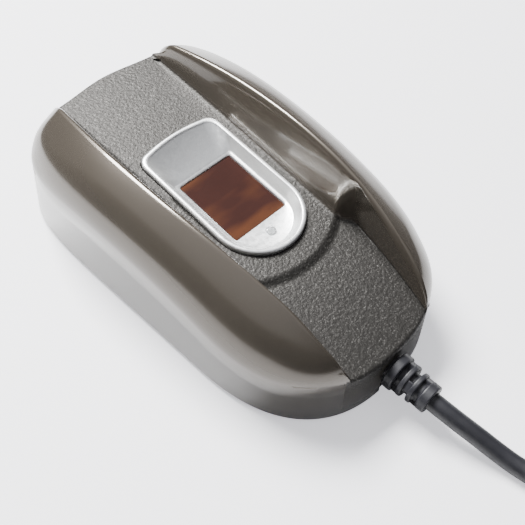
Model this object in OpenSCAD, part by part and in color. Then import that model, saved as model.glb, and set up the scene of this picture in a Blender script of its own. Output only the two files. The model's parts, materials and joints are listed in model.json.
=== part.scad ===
// Desktop fingerprint reader with a USB lead.
// Origin: centre of the body's footprint, on the surface it stands on.
// +Z is up, +Y points to the cable end, -Y to the person using it.

/* [Body] */
// Length of the body
body_l = 108; // [104:1:112]
// Half of the body's width at its foot, before the taper
half_w = 30.9; // [30:0.1:32]
// How much the half width changes over 50 mm of length, as a fraction
taper = 0.068; // [0.05:0.002:0.08]
// Highest point of the two side ridges
ridge_h = 37.0; // [36:0.5:38]
// Thickness of the shell wall
wall = 2.2; // [1.8:0.1:2.6]
// Height of the shell's lower edge
shell_z = 1.8; // [1.6:0.1:2]

/* [Channel between the ridges] */
// Height of the channel floor at mid length
strip_h = 25.1; // [24.5:0.1:26]
// Half width of the channel floor at mid length
strip_w = 14.3; // [14:0.1:15]
// Where the step down to the lower floor has its apex
step_y = 25.3; // [24:0.1:26]
// Radius of the step in plan
step_r = 25; // [22:1:30]

/* [Finger window] */
// Width of the window
window_w = 16; // [15:0.5:16]
// Length of the window
window_l = 20; // [19:0.5:20]
// Depth of the window below the channel floor
window_dip = 1.9; // [1.8:0.1:2.2]
// Half width of the bezel
bezel_w = 11.85; // [11.5:0.05:12]

/* [Lead] */
// Diameter of the lead
lead_d = 4.5; // [4.2:0.1:4.6]
// Height of the lead's axis where it leaves the body
lead_z = 8.3; // [8:0.1:8.6]
// Diameter of the coil at the middle of its turns
coil_d = 46; // [45:1:50]

/* [Hidden] */
$fn = 48;

// ---- outline of the body, a rounded box with a rounder cable end ----
end_y = body_l / 2;
wide_y = 20;              // where the two halves of the outline meet
user_n = 6.7;             // squareness of the user half
cable_n = 2.56;           // squareness of the cable half
draft = 0.6;              // the wall leans in by this much from foot to top edge
lean = 3.5;               // and the user end by this much more

function lerp(a, b, t) = a + (b - a) * t;
function clamp(t) = min(1, max(0, t));
function smooth(t) = let (c = clamp(t)) c * c * (3 - 2 * c);
function smin(a, b, k) = let (h = max(k - abs(a - b), 0) / k) min(a, b) - h * h * k / 4;
function smax(a, b, k) = -smin(-a, -b, k);

function squareness(y) = y < wide_y ? user_n : cable_n;
function reach(y, g) = (y < wide_y ? end_y + wide_y - lean : end_y - wide_y) - g;
// y at the foot, under y at the top edge
function foot_y(y) =
    y < wide_y ? wide_y + (y - wide_y) * (end_y + wide_y) / (end_y + wide_y - lean) : y;
// the user end's top edge is bowed: its y moves in by this away from the middle
function bow(x, y) = 2 * (1 - exp(-pow(x / 11, 2))) * smooth((-20 - y) / 30);
function spread(y, g) = (half_w - g) * (1 - taper * y / 50);
// 1 on the outline inset by g, less inside it
function level(x, y, g) =
    let (n = squareness(y))
    pow(pow(abs(x) / spread(y, g), n) + pow(abs(y - wide_y) / reach(y, g), n), 1 / n);
function slope(x, y, g) =
    let (h = 0.02)
    [(level(x + h, y, g) - level(x - h, y, g)) / (2 * h),
     (level(x, y + h, g) - level(x, y - h, g)) / (2 * h)];
function depth_in(x, y, g) = (1 - level(x, y, g)) / max(norm(slope(x, y, g)), 0.001);
function side_x(y, g) =
    let (n = squareness(y))
    spread(y, g) * pow(max(0, 1 - pow(abs(y - wide_y) / reach(y, g), n)), 1 / n);
function end_at(x, side, spread_y, g) =
    let (n = squareness(side * end_y), r = reach(side * end_y, g))
    wide_y + side * r * pow(max(0, 1 - pow(abs(x) / spread(spread_y, g), n)), 1 / n);
// the end's y at x, with the taper taken where the end really is
function end_line(x, side, g) = end_at(x, side, end_at(x, side, side * end_y, g), g);
function corner_y(side, g) =
    wide_y + side * reach(side * end_y, g) * pow(0.5, 1 / squareness(side * end_y));

// ---- heights of the top surface ----
crown_y = -9;             // where the ridges are highest
function ridge_x(y) = 19.2 - 0.0017 * pow(y + 8, 2);
function ridge_z(y) =
    ridge_h - 0.0019 * pow(y - crown_y, 2) - 10.9 * pow(max(y - crown_y, 0) / 60, 4);
function belt_z(y) = 30 - (y < -12 ? 0.0061 : 0.0039) * pow(y + 12, 2);
function upper_floor(y) = strip_h - 0.105 * y - 0.00046 * y * y;
function lower_floor(y) = let (t = (y - 1.4) / 50) 23.2 - 1.4 * t - 6.2 * t * t;
step_run = 2.4;           // plan width of the step's slope
function step_line(x) = step_y - step_r + sqrt(max(0, step_r * step_r - x * x));
function past_step(x, y) = smooth((y - step_line(x)) / step_run);
function floor_z(x, y) = lerp(upper_floor(y), lower_floor(y), past_step(x, y));
function foot_x(y) =
    lerp(strip_w - 0.022 * y, ridge_x(y) - 0.5, smooth((y - step_line(strip_w)) / 6));

function hump_z(x, y) =
    let (q = max(0, (abs(x) - ridge_x(y)) / (spread(y, 0) - ridge_x(y))))
    ridge_z(y) - (ridge_z(y) - belt_z(y)) * (0.7 * q + 0.3 * q * q);
function flank_z(x, y) =
    floor_z(x, y) + (abs(x) - foot_x(y)) * (ridge_z(y) - floor_z(x, y))
    / (ridge_x(y) - foot_x(y));
function top_z(x, y) =
    smax(floor_z(x, y), smin(flank_z(x, y), hump_z(x, y), 1.8), 0.8);

// radius of the edge between the top and the side wall
function edge_r(x, y) =
    let (user = smooth((-34 - y) / 12) * (1 - smooth((abs(x) - ridge_x(y)) / 9)),
        hump = 6 + 3 * user - 2.5 * smooth((y - 38) / 12))
    lerp(0.8, hump, smooth((abs(x) - foot_x(y)) / max(ridge_x(y) - foot_x(y), 0.8)));
function edge_drop(x, y, g) =
    let (r = edge_r(x, y), e = clamp(1 - depth_in(x, y, g) / r))
    r * (1 - sqrt(1 - e * e));
// the cavity's roof stays a wall's thickness under the top, on the flanks as well
function roof_z(x, y) = min(top_z(x, y), top_z(max(abs(x) - wall, 0), y)) - wall;

// ---- grid over the top: columns follow the ridges, rows run across ----
outer_cols = [[0, 0], [0, 0.3], [0, 0.6], [0, 0.85], [0, 0.96], [1, 0], [1, 0.12],
    [1, 0.35], [1, 0.65], [1, 0.88], [2, 0], [2, 0.05], [2, 0.13], [2, 0.27],
    [2, 0.45], [2, 0.62], [2, 0.75], [2, 0.85], [2, 0.92], [2, 0.97], [2, 1]];
outer_rows = concat(
    [for (i = [0:20]) 0.7 * (1 - cos(90 * i / 21))],
    [for (i = [0:9]) 0.66 + 0.0112 * i],
    [for (i = [1:14]) 0.7608 + 0.2392 * sin(90 * i / 14)]);
inner_cols = [[0, 0], [0, 0.5], [0, 0.9], [1, 0], [1, 0.5], [2, 0], [2, 0.15],
    [2, 0.4], [2, 0.7], [2, 0.9], [2, 1]];
inner_rows = [for (i = [0:20]) 0.5 - 0.5 * cos(9 * i)];

function col_x(c, xf, xr, xw) =
    c[0] == 0 ? c[1] * xf : c[0] == 1 ? lerp(xf, xr, c[1]) : lerp(xr, xw, c[1]);
function row_x(c, t, g) =
    let (yp = lerp(g - end_y, end_y - g, t),
        yr = yp + bow(17, yp),
        ys = lerp(corner_y(-1, g), corner_y(1, g), t))
    col_x(c, foot_x(yr), min(ridge_x(yr), side_x(ys, g) - 2), side_x(ys, g));
function plan_point(c, t, g) =
    let (x0 = row_x(c, 0, g), x1 = row_x(c, 1, g))
    [row_x(c, t, g), lerp(end_line(x0, -1, g), end_line(x1, 1, g), t)];
function both_sides(cols) =
    concat([for (i = [len(cols) - 1:-1:1]) [-1, cols[i]]], [for (c = cols) [1, c]]);

// closed solid under a surface: kind 0 is the outer skin, kind 1 the cavity
module body_solid(cols, rows, g, kind, low) {
    full = both_sides(cols);
    w = len(full);
    h = len(rows);
    plan = [for (t = rows) for (f = full) let (p = plan_point(f[1], t, g)) [f[0] * p[0], p[1]]];
    top = [for (p = plan)
        let (y = p[1] + bow(p[0], p[1]),
            z = kind == 0 ? top_z(p[0], y) : roof_z(p[0], y))
        [p[0], y, z - edge_drop(p[0], p[1], g)]];
    rim = concat([for (i = [0:w - 1]) i], [for (j = [1:h - 1]) j * w + w - 1],
        [for (i = [w - 2:-1:0]) (h - 1) * w + i], [for (j = [h - 2:-1:1]) j * w]);
    foot = [for (i = rim)
        let (p = plan[i], s = slope(p[0], p[1], g), k = draft / norm(s))
        [p[0] + s[0] * k, foot_y(p[1] + s[1] * k), low]];
    n = len(rim);
    m = len(top);
    faces = concat(
        [for (j = [0:h - 2]) for (i = [0:w - 2])
            [j * w + i, (j + 1) * w + i, j * w + i + 1]],
        [for (j = [0:h - 2]) for (i = [0:w - 2])
            [j * w + i + 1, (j + 1) * w + i, (j + 1) * w + i + 1]],
        [for (i = [0:n - 1]) [rim[i], rim[(i + 1) % n], m + i]],
        [for (i = [0:n - 1]) [rim[(i + 1) % n], m + (i + 1) % n, m + i]],
        [[for (i = [0:n - 1]) m + i]]);
    polyhedron(points = concat(top, foot), faces = faces);
}

// flat outline of the foot, inset by g
module foot_outline(g) {
    polygon([for (p = concat(
        [for (i = [-12:12])
            let (x = side_x(corner_y(-1, g), g) * sin(90 * i / 12)) [x, end_line(x, -1, g)]],
        [for (i = [1:23])
            let (y = lerp(corner_y(-1, g), corner_y(1, g), i / 24)) [side_x(y, g), y]],
        [for (i = [12:-1:-12])
            let (x = side_x(corner_y(1, g), g) * sin(90 * i / 12)) [x, end_line(x, 1, g)]],
        [for (i = [23:-1:1])
            let (y = lerp(corner_y(-1, g), corner_y(1, g), i / 24)) [-side_x(y, g), y]]))
        [p[0], foot_y(p[1])]]);
}

// ---- heights and places inside ----
base_t = 2.0;
base_z = 0.8;
floor_top = base_z + base_t;
board_z = 6.0;
board_t = 1.6;
chip_z = board_z + board_t;
case_xy = [[-21.5, -41], [21.5, -41], [-19.5, 33], [19.5, 33]];
foot_xy = [[-20, -46], [20, -46], [-14, 41], [14, 41]];
board_xy = [[-16, -44], [16, -44], [-16, -12], [16, -12]];
ballast_xy = [[-17, 4], [17, 4]];
clamp_x = 7;
clamp_y = 44;

// frame of the finger window: x across, y along the channel floor, z out of it
tilt = 6;
frame_y = 1;
module window_frame() {
    translate([0, frame_y, upper_floor(frame_y)]) rotate([-tilt, 0, 0]) children();
}
// a side view drawn as (y, z), as wide as w
module profile(w) {
    rotate([90, 0, 90]) linear_extrude(w, center = true) children();
}
module at_each(places) {
    for (p = places) translate([p[0], p[1], 0]) children();
}

// D-shaped outline of the bezel: bowed user edge, straight sides, round end
bezel_round_y = 8.1;
bezel_user_y = -20.8;
bezel_bow = 1.7;
bezel_corner = 3;
module bezel_outline(g) {
    w = bezel_w - g;
    bow = [for (i = [-6:6])
        let (x = (w - bezel_corner) * i / 6)
        [x, bezel_user_y + g - bezel_bow * (1 - pow(x / w, 2))]];
    turn = bow[12][1] + bezel_corner;
    polygon(concat(bow,
        [for (a = [-75:15:0]) [w - bezel_corner + bezel_corner * cos(a),
            turn + bezel_corner * sin(a)]],
        [for (a = [0:9:180]) [w * cos(a), bezel_round_y + w * sin(a)]],
        [for (a = [180:15:255]) [-w + bezel_corner + bezel_corner * cos(a),
            turn + bezel_corner * sin(a)]]));
}
rim_h = 1.2;              // bezel rim above the channel floor
lip_z = -0.5;             // underside of the bezel's lip
plug_g = 1.1;             // inset of the part that passes through the shell
bezel_low = -4.0;
dish_z = -1.75;           // bottom of the dish around the window
lens_r = 1.3;
lens_y = 13.3;

holder_w = 21;
ear_xy = [[-15, -13], [15, -13], [-15, 13], [15, 13]];
ear_z = -7.2;
prism_top = -window_dip;
prism_edge = prism_top - 1;
prism_low = -11.5;
axis_z = -10.8;           // height of the lens axis under the channel floor
sensor_y = 29.5;

module upper_shell() {
    color([0.40, 0.37, 0.33]) difference() {
        body_solid(outer_cols, outer_rows, draft, 0, shell_z);
        difference() {
            body_solid(inner_cols, inner_rows, draft + wall, 1, -2);
            at_each(case_xy) translate([0, 0, floor_top]) cylinder(r = 3, h = 30);
            window_frame() at_each(ear_xy)
                translate([0, 0, ear_z + 1.6]) cylinder(r = 2.6, h = 12);
        }
        at_each(case_xy) translate([0, 0, floor_top - 1]) cylinder(r = 1.2, h = 13);
        window_frame() {
            at_each(ear_xy) translate([0, 0, ear_z]) cylinder(r = 0.85, h = 6.4);
            translate([0, 0, lip_z - 0.1]) linear_extrude(12) bezel_outline(-0.25);
            translate([0, 0, -12]) linear_extrude(14) bezel_outline(1);
        }
        translate([0, end_y - 7, lead_z]) rotate([-90, 0, 0]) cylinder(r = 3.6, h = 12);
        translate([-3.6, end_y - 7, 0]) cube([7.2, 12, lead_z]);
    }
}

module base_plate() {
    color([0.11, 0.11, 0.12]) difference() {
        union() {
            translate([0, 0, base_z]) linear_extrude(base_t - 1) foot_outline(0.7);
            translate([0, 0, base_z + base_t - 1]) linear_extrude(1) foot_outline(3.4);
            translate([0, 0, floor_top]) linear_extrude(2.6) difference() {
                foot_outline(3.4);
                foot_outline(4.6);
                at_each(case_xy) circle(r = 6);
                translate([-5, end_y - 8]) square([10, 12]);
            }
            at_each(board_xy) translate([0, 0, floor_top])
                cylinder(r = 2.3, h = board_z - floor_top);
            at_each(ballast_xy) translate([0, 0, floor_top]) cylinder(r = 2, h = 3);
            translate([-10, clamp_y - 3, floor_top])
                cube([20, 6, lead_z - lead_d / 2 - floor_top]);
            for (x = [-clamp_x, clamp_x]) translate([x, clamp_y, floor_top])
                cylinder(r = 2.6, h = lead_z - floor_top);
            translate([-3.4, end_y - 3.4, floor_top - 1]) cube([6.8, 2.4, lead_z - floor_top + 1]);
        }
        at_each(case_xy) {
            translate([0, 0, -1]) cylinder(r = 1.5, h = 8);
            translate([0, 0, -1]) cylinder(r = 2.8, h = 2.8);
        }
        at_each(foot_xy) translate([0, 0, -1]) cylinder(r = 5, h = 2.2);
        at_each(board_xy) translate([0, 0, floor_top]) cylinder(r = 0.8, h = 8);
        at_each(ballast_xy) translate([0, 0, floor_top]) cylinder(r = 0.8, h = 8);
        for (x = [-clamp_x, clamp_x]) translate([x, clamp_y, floor_top])
            cylinder(r = 0.8, h = 12);
        translate([0, end_y - 9, lead_z]) rotate([-90, 0, 0]) cylinder(r = 3.4, h = 12);
    }
}

module rubber_feet() {
    color([0.09, 0.09, 0.09]) at_each(foot_xy) cylinder(r = 4.8, h = 1.2);
}

// a screw with its head down: head radius, head height, shank radius, length
module screw(head_r, head_h, shank_r, shank_l) {
    difference() {
        union() {
            cylinder(r = head_r, h = head_h);
            cylinder(r = shank_r, h = head_h + shank_l);
        }
        for (a = [0, 90]) rotate([0, 0, a])
            translate([-head_r * 0.6, -head_r * 0.12, -1])
                cube([head_r * 1.2, head_r * 0.24, 1 + head_h * 0.55]);
    }
}

module case_screws() {
    color([0.75, 0.75, 0.77]) at_each(case_xy) translate([0, 0, 1.0])
        screw(2.5, 0.8, 1.15, 11);
}

module bezel() {
    color([0.80, 0.81, 0.81]) window_frame() difference() {
        union() {
            translate([0, 0, lip_z]) linear_extrude(rim_h - lip_z - 0.5) bezel_outline(0);
            translate([0, 0, rim_h - 0.5]) linear_extrude(0.5) bezel_outline(0.35);
            translate([0, 0, bezel_low]) linear_extrude(5) bezel_outline(plug_g);
        }
        hull() {
            translate([0, 0, rim_h]) linear_extrude(1) bezel_outline(1.4);
            translate([0, 0, dish_z]) linear_extrude(0.1) intersection() {
                bezel_outline(3);
                translate([-9.2, -11.6]) square([18.4, 40]);
            }
        }
        translate([-window_w / 2 - 0.3, -window_l / 2 - 0.3, bezel_low - 1])
            cube([window_w + 0.6, window_l + 0.6, 8]);
        translate([-window_w / 2 - 1.6, -window_l / 2 - 1.6, bezel_low - 1])
            cube([window_w + 3.2, window_l + 3.2, 2]);
        translate([0, lens_y, bezel_low - 1]) cylinder(r = lens_r + 0.1, h = 6);
    }
}

module indicator_lens() {
    color([0.92, 0.94, 0.96]) window_frame() translate([0, lens_y, 0]) {
        translate([0, 0, bezel_low - 0.8]) cylinder(r = lens_r + 0.7, h = 0.8);
        translate([0, 0, bezel_low]) cylinder(r = lens_r, h = dish_z - bezel_low + 0.2);
    }
}

module platen_gasket() {
    color([0.05, 0.05, 0.05]) window_frame() difference() {
        translate([-window_w / 2 - 1.5, -window_l / 2 - 1.5, bezel_low])
            cube([window_w + 3, window_l + 3, 0.9]);
        translate([-window_w / 2 - 0.05, -window_l / 2 - 0.05, bezel_low - 1])
            cube([window_w + 0.1, window_l + 0.1, 3]);
    }
}

module prism_side(grow) {
    y = window_l / 2 + grow;
    run = prism_edge - prism_low;
    polygon([[-y, prism_top], [y, prism_top], [y, prism_edge], [y - run, prism_low - grow],
        [run - y, prism_low - grow], [-y, prism_edge]]);
}
module platen_prism() {
    color([0.25, 0.09, 0.06]) window_frame() profile(window_w) prism_side(0);
}

face_y = window_l / 2 - (prism_edge - prism_low) / 2;
face_z = (prism_edge + prism_low) / 2;
// frame on the prism's lit face: z points out of the glass, towards the lamps
module lit_face() {
    window_frame() translate([0, -face_y, face_z]) rotate([135, 0, 0]) children();
}
mirror_y = 9.3;
mirror_tilt = 22.5;
module mirror_frame() {
    window_frame() translate([0, mirror_y, axis_z]) rotate([-mirror_tilt, 0, 0]) children();
}

module prism_holder() {
    color([0.08, 0.08, 0.09]) difference() {
        window_frame() union() {
            profile(holder_w) polygon([[-14.5, bezel_low], [14, bezel_low], [16.5, -6.6],
                [sensor_y - 1, -6.6], [sensor_y - 1, -16.5], [2, -16.5], [-6, -16.5],
                [-14.5, -8]]);
            at_each(ear_xy) translate([0, 0, ear_z]) cylinder(r = 2.6, h = 1.6);
            for (y = [-13, 13]) translate([-15, y - 2.2, ear_z]) cube([30, 4.4, 1.6]);
        }
        window_frame() {
            profile(window_w + 0.1) prism_side(0.05);
            translate([-window_w / 2 - 0.05, -window_l / 2 - 0.05, prism_top - 3])
                cube([window_w + 0.1, window_l + 0.1, 6]);
            at_each(ear_xy) translate([0, 0, ear_z - 1]) cylinder(r = 1.1, h = 4);
            translate([-6, 4, axis_z - 3.4]) cube([12, 12, 6.8]);
            translate([0, 10, axis_z]) rotate([-90, 0, 0]) cylinder(r = 4.1, h = 30);
            translate([0, lens_y, bezel_low - 5]) cylinder(r = 2.2, h = 6);
            for (x = [-8.5, 8.5]) translate([x, sensor_y - 6, -14.6])
                rotate([-90, 0, 0]) cylinder(r = 0.6, h = 10);
        }
        lit_face() translate([-7, -4.6, -1]) cube([14, 9.2, 12]);
        lit_face() translate([-8, -5.2, 3.5]) cube([16, 10.4, 12]);
        mirror_frame() translate([-7, -5.6, -1.25]) cube([14, 11.2, 6]);
    }
}

module diffuser() {
    color([0.93, 0.93, 0.92]) lit_face() translate([-7.8, -5, 3.6]) cube([15.6, 10, 1]);
}
module illumination_board() {
    color([0.10, 0.30, 0.16]) lit_face() translate([-7.9, -5.1, 6.8]) cube([15.8, 10.2, 1]);
}
led_grid = [for (x = [-5.4, -1.8, 1.8, 5.4]) for (y = [-2.4, 2.4]) [x, y]];
module illumination_leds() {
    color([0.85, 0.25, 0.20]) lit_face() at_each(led_grid) {
        translate([-1, -0.7, 6.3]) cube([2, 1.4, 0.5]);
        translate([0, 0, 5.7]) cylinder(r = 0.55, h = 0.6);
    }
}
module fold_mirror() {
    color([0.80, 0.85, 0.88]) mirror_frame() translate([-6.9, -5.5, -1.2]) cube([13.8, 11, 1.1]);
}

// frame on the lens axis: z points to the sensor
module lens_axis(y) {
    window_frame() translate([0, y, axis_z]) rotate([-90, 0, 0]) children();
}
module lens_holder() {
    color([0.07, 0.07, 0.08]) difference() {
        union() {
            lens_axis(sensor_y - 9.5) cylinder(r = 4, h = 7);
            lens_axis(sensor_y - 4) translate([-4, -4, 0]) cube([8, 8, 4]);
        }
        lens_axis(sensor_y - 12) cylinder(r = 3.05, h = 11);
        lens_axis(sensor_y - 2.4) translate([-3.1, -3.1, 0]) cube([6.2, 6.2, 3]);
    }
}
barrel_y = sensor_y - 12.5;
module lens_barrel() {
    color([0.12, 0.12, 0.13]) lens_axis(barrel_y) difference() {
        union() {
            cylinder(r = 3.8, h = 1.6);
            cylinder(r = 3.0, h = 8);
        }
        translate([0, 0, -1]) cylinder(r = 1.7, h = 12);
        translate([0, 0, -1]) cylinder(r = 2.4, h = 2.6);
        translate([0, 0, 5]) cylinder(r = 2.3, h = 4);
    }
}
// a lens with both faces domed: radius, edge thickness, rise of each dome
module lens(r, edge, rise) {
    ball = (r * r + rise * rise) / (2 * rise);
    intersection() {
        translate([0, 0, edge / 2 + rise - ball]) sphere(r = ball);
        translate([0, 0, ball - edge / 2 - rise]) sphere(r = ball);
        translate([0, 0, -3]) cylinder(r = r, h = 6);
    }
}
module front_lens() {
    color([0.75, 0.85, 0.95]) lens_axis(barrel_y + 1) lens(2.35, 0.5, 0.35);
}
module rear_lens() {
    color([0.75, 0.85, 0.95]) lens_axis(barrel_y + 5.9) lens(2.25, 0.5, 0.35);
}
module ir_filter() {
    color([0.70, 0.85, 0.90]) lens_axis(barrel_y + 7.1) cylinder(r = 2.2, h = 0.6);
}
module image_sensor() {
    color([0.15, 0.15, 0.17]) lens_axis(sensor_y) difference() {
        translate([-2.9, -2.9, -1]) cube([5.8, 5.8, 1]);
        translate([-2, -2, -2]) cube([4, 4, 1.3]);
    }
}
module sensor_board() {
    color([0.10, 0.30, 0.16]) window_frame() difference() {
        translate([-10.2, sensor_y, -16.4]) cube([20.4, 1, 10.6]);
        for (x = [-8.5, 8.5]) translate([x, sensor_y - 1, -14.6])
            rotate([-90, 0, 0]) cylinder(r = 0.9, h = 4);
    }
}
module sensor_screws() {
    color([0.75, 0.75, 0.77]) window_frame() for (x = [-8.5, 8.5])
        translate([x, sensor_y + 1.8, -14.6]) rotate([90, 0, 0]) screw(1.5, 0.8, 0.58, 5);
}
module sensor_connector() {
    color([0.90, 0.88, 0.82]) window_frame()
        translate([-5, sensor_y + 1, -9.4]) cube([10, 2, 2.6]);
}
ffc_y = sensor_y + 3.6;
module flat_cable() {
    color([0.90, 0.90, 0.92]) {
        window_frame() translate([-4.5, sensor_y + 3, -8.3]) cube([9, 1.1, 0.3]);
        window_frame() translate([-4.5, ffc_y + 0.5, -17.6]) cube([9, 0.3, 9.6]);
        translate([-4.5, -3.5, chip_z + 0.75]) cube([9, 37, 0.3]);
    }
}
module board_connector() {
    color([0.90, 0.88, 0.82]) translate([-5, -8.5, chip_z]) cube([10, 5, 1.6]);
}

module main_board() {
    color([0.09, 0.28, 0.15]) difference() {
        translate([-19, -47, board_z]) cube([38, 38.3, board_t]);
        at_each(board_xy) translate([0, 0, board_z - 1]) cylinder(r = 1.1, h = 4);
    }
}
// a flat chip with leads on two sides: length, width, height, leads a side
module chip(l, w, h, n) {
    translate([-l / 2, -w / 2, 0.2]) cube([l, w, h]);
    for (i = [0:n - 1]) for (s = [-1, 1])
        translate([(i - (n - 1) / 2) * l / n - 0.15, s < 0 ? -w / 2 - 0.8 : w / 2, 0])
            cube([0.3, 0.8, 0.5]);
}
module controller_chip() {
    color([0.10, 0.10, 0.11]) translate([-4, -31, chip_z]) {
        chip(10, 10, 1.2, 12);
        rotate([0, 0, 90]) chip(10, 10, 1.2, 12);
    }
}
module memory_chip() {
    color([0.12, 0.12, 0.13]) translate([10, -27, chip_z]) chip(5, 4, 1.4, 4);
}
module crystal() {
    color([0.78, 0.78, 0.78]) translate([-14, -30, chip_z]) {
        cube([3.2, 7, 0.6]);
        translate([0.3, 1.6, 0.6]) cube([2.6, 3.8, 1.6]);
        translate([1.6, 1.6, 0.6]) cylinder(r = 1.3, h = 1.6);
        translate([1.6, 5.4, 0.6]) cylinder(r = 1.3, h = 1.6);
    }
}
module voltage_regulator() {
    color([0.13, 0.13, 0.14]) translate([11, -37, chip_z]) {
        translate([-3.2, -1.7, 0.1]) cube([6.4, 3.4, 1.5]);
        for (x = [-2.3, 0, 2.3]) translate([x - 0.4, -3.2, 0]) cube([0.8, 1.5, 0.5]);
        translate([-1.5, 1.7, 0]) cube([3, 1.5, 0.5]);
    }
}
cap_xy = [for (i = [0:5]) [-15 + 2.6 * i, -20]];
module capacitors() {
    color([0.72, 0.60, 0.45]) at_each(cap_xy) translate([-0.6, -0.4, chip_z])
        cube([1.2, 0.8, 0.8]);
    color([0.20, 0.20, 0.25]) at_each([[4, -40], [-11, -40]]) translate([0, 0, chip_z])
        cylinder(r = 2, h = 4);
}
res_xy = [for (i = [0:5]) [-12 + 2.2 * i, -17.4]];
module resistors() {
    color([0.10, 0.10, 0.10]) at_each(res_xy) translate([-0.8, -0.4, chip_z])
        cube([1.6, 0.8, 0.45]);
}
module indicator_led() {
    color([0.90, 0.95, 0.90]) window_frame() translate([0, lens_y, bezel_low - 1.2]) {
        translate([0, 0, -2.6]) cylinder(r = 1.5, h = 2);
        translate([0, 0, -0.6]) sphere(r = 1);
        for (x = [-0.64, 0.64]) translate([x - 0.2, -0.2, -4.6]) cube([0.4, 0.4, 2]);
    }
}

module led_wires() {
    for (i = [0, 1]) color(i == 0 ? "red" : "black")
        tube([[12 + 1.4 * i, -14, chip_z], [12 + 1.4 * i, -14.2, 10], [11 + 1.4 * i, -14.6, 12.4],
            [9 + 1.4 * i, -14.6, 13.6], [5 + 1.4 * i, -12.6, 14.6]], 2, 0.45, 8, [0, 1, 0]);
}

module cable_header() {
    color([0.92, 0.91, 0.86]) translate([15.2, -38, chip_z]) difference() {
        translate([-2.6, -6.5, 0]) cube([5.2, 12.5, 5]);
        translate([-1.9, -5.8, 1]) cube([3.8, 11.1, 5]);
    }
}
module cable_housing() {
    color([0.94, 0.93, 0.90]) translate([15.2, -38, chip_z + 1.2])
        translate([-1.8, -5.7, 0]) cube([3.6, 10.9, 6]);
}
core_colours = ["red", "white", "green", "black"];
module core_wires() {
    for (i = [0:3]) color(core_colours[i])
        tube([[(i - 1.5) * 1.1, 41, lead_z], [(i - 1.5) * 1.4, 37, lead_z - 0.3],
            [5 + i * 1.2, 31, 7.8], [19.6 + i * 1.1, 18, 8.2], [20.6 + i * 1.1, 0, 9],
            [20.6 + i * 1.1, -22, 10.4], [19.6 + 0.6 * i, -38 + 1.8 * i, 16.2],
            [15.2, -41.9 + 2.6 * i, 17.2], [15.2, -41.9 + 2.6 * i, chip_z + 7.2]],
            3, 0.5, 8, [1, 0.2, 0]);
}

module cable_clamp() {
    color([0.10, 0.10, 0.11]) difference() {
        translate([-10, clamp_y - 2.6, lead_z]) cube([20, 5.2, 4]);
        translate([0, clamp_y - 4, lead_z]) rotate([-90, 0, 0])
            cylinder(r = lead_d / 2, h = 8);
        for (x = [-clamp_x, clamp_x]) translate([x, clamp_y, lead_z - 1])
            cylinder(r = 1.1, h = 8);
    }
}
// a screw with its head up, its shank going down from z = 0
module screw_down(head_r, head_h, shank_r, shank_l) {
    translate([0, 0, head_h]) mirror([0, 0, 1]) screw(head_r, head_h, shank_r, shank_l);
}
module clamp_screws() {
    color([0.75, 0.75, 0.77]) for (x = [-clamp_x, clamp_x])
        translate([x, clamp_y, lead_z + 4]) screw_down(2, 1.1, 0.78, 8.5);
}
module board_screws() {
    color([0.75, 0.75, 0.77]) at_each(board_xy) translate([0, 0, chip_z])
        screw_down(2, 1.1, 0.78, 4.5);
}
module holder_screws() {
    color([0.75, 0.75, 0.77]) window_frame() at_each(ear_xy)
        translate([0, 0, ear_z - 1.1]) screw(1.9, 1.1, 0.83, 5);
}
module ballast_plate() {
    color([0.55, 0.56, 0.58]) difference() {
        translate([-20, -5, floor_top]) cube([40, 33, 3]);
        at_each(ballast_xy) translate([0, 0, floor_top - 1]) cylinder(r = 2.2, h = 6);
        translate([-6, 22, floor_top - 1]) cube([12, 8, 6]);
    }
}
module ballast_screws() {
    color([0.75, 0.75, 0.77]) at_each(ballast_xy) translate([0, 0, floor_top + 3])
        screw_down(3.2, 1.2, 0.78, 2.6);
}

// ---- moulded strain relief: collars on a core, bridged at the sides in turn ----
module relief_part() {
    translate([0, end_y, lead_z]) rotate([-90, 0, 0]) children();
}
module strain_relief() {
    color([0.13, 0.13, 0.14]) difference() {
        relief_part() union() {
            translate([0, 0, -3.2]) cylinder(r = 3.35, h = 3.6);
            translate([0, 0, -4.6]) cylinder(r = 4.6, h = 1.2);
            translate([0, 0, 0.1]) cylinder(r = 4.6, h = 2.3);
            cylinder(r = 2.75, h = 11);
            translate([0, 0, 3.7]) cylinder(r = 4.15, h = 1.2);
            translate([0, 0, 6.2]) cylinder(r = 3.9, h = 1.2);
            translate([0, 0, 8.8]) cylinder(r = 3.6, h = 2.2);
            for (a = [0, 180]) rotate([0, 0, a + 45]) {
                translate([1.8, -1.3, 2]) cube([2, 2.6, 2]);
                translate([1.5, -1.2, 7]) cube([2, 2.4, 2]);
            }
            for (a = [0, 180]) rotate([0, 0, a - 45]) translate([1.6, -1.3, 4.5])
                cube([2, 2.6, 2]);
        }
        relief_part() translate([0, 0, -8]) cylinder(r = lead_d / 2, h = 30);
    }
}

// ---- lead: a straight inner length, then the route it lies along ----
coil_x = -40;
coil_y = 111;
coil_wide = 5;            // turns side by side, in two layers
coil_in = coil_d / 2 - coil_wide * lead_d / 2;
coil_out = coil_d / 2 + coil_wide * lead_d / 2;
tie_t = 0.7;              // the tie's strap, which the coil rests on
plug_at = [5, 111.4, 4];
plug_turn = 145;          // the plug lies at this angle, seen from above
lead_route = [[0, 41, 8.3], [0, 54, 8.3], [0, 60, 8.3], [0, 65, 8.1], [-0.9, 72, 6.8],
    [-2, 77, 5.2], [-3.1, 82, 3.5], [-3.8, 86, 2.8], [-4.5, 90, 2.65], [-5, 94.4, 2.7],
    [-5.6, 98.4, 2.9]];
tail_route = [[-4.9, 100.9, 7.5], [-1.4, 104.3, 7.2], [2, 108, 5.5], [5, 111.4, 4.1],
    [6.7, 113.9, 4]];

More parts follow.
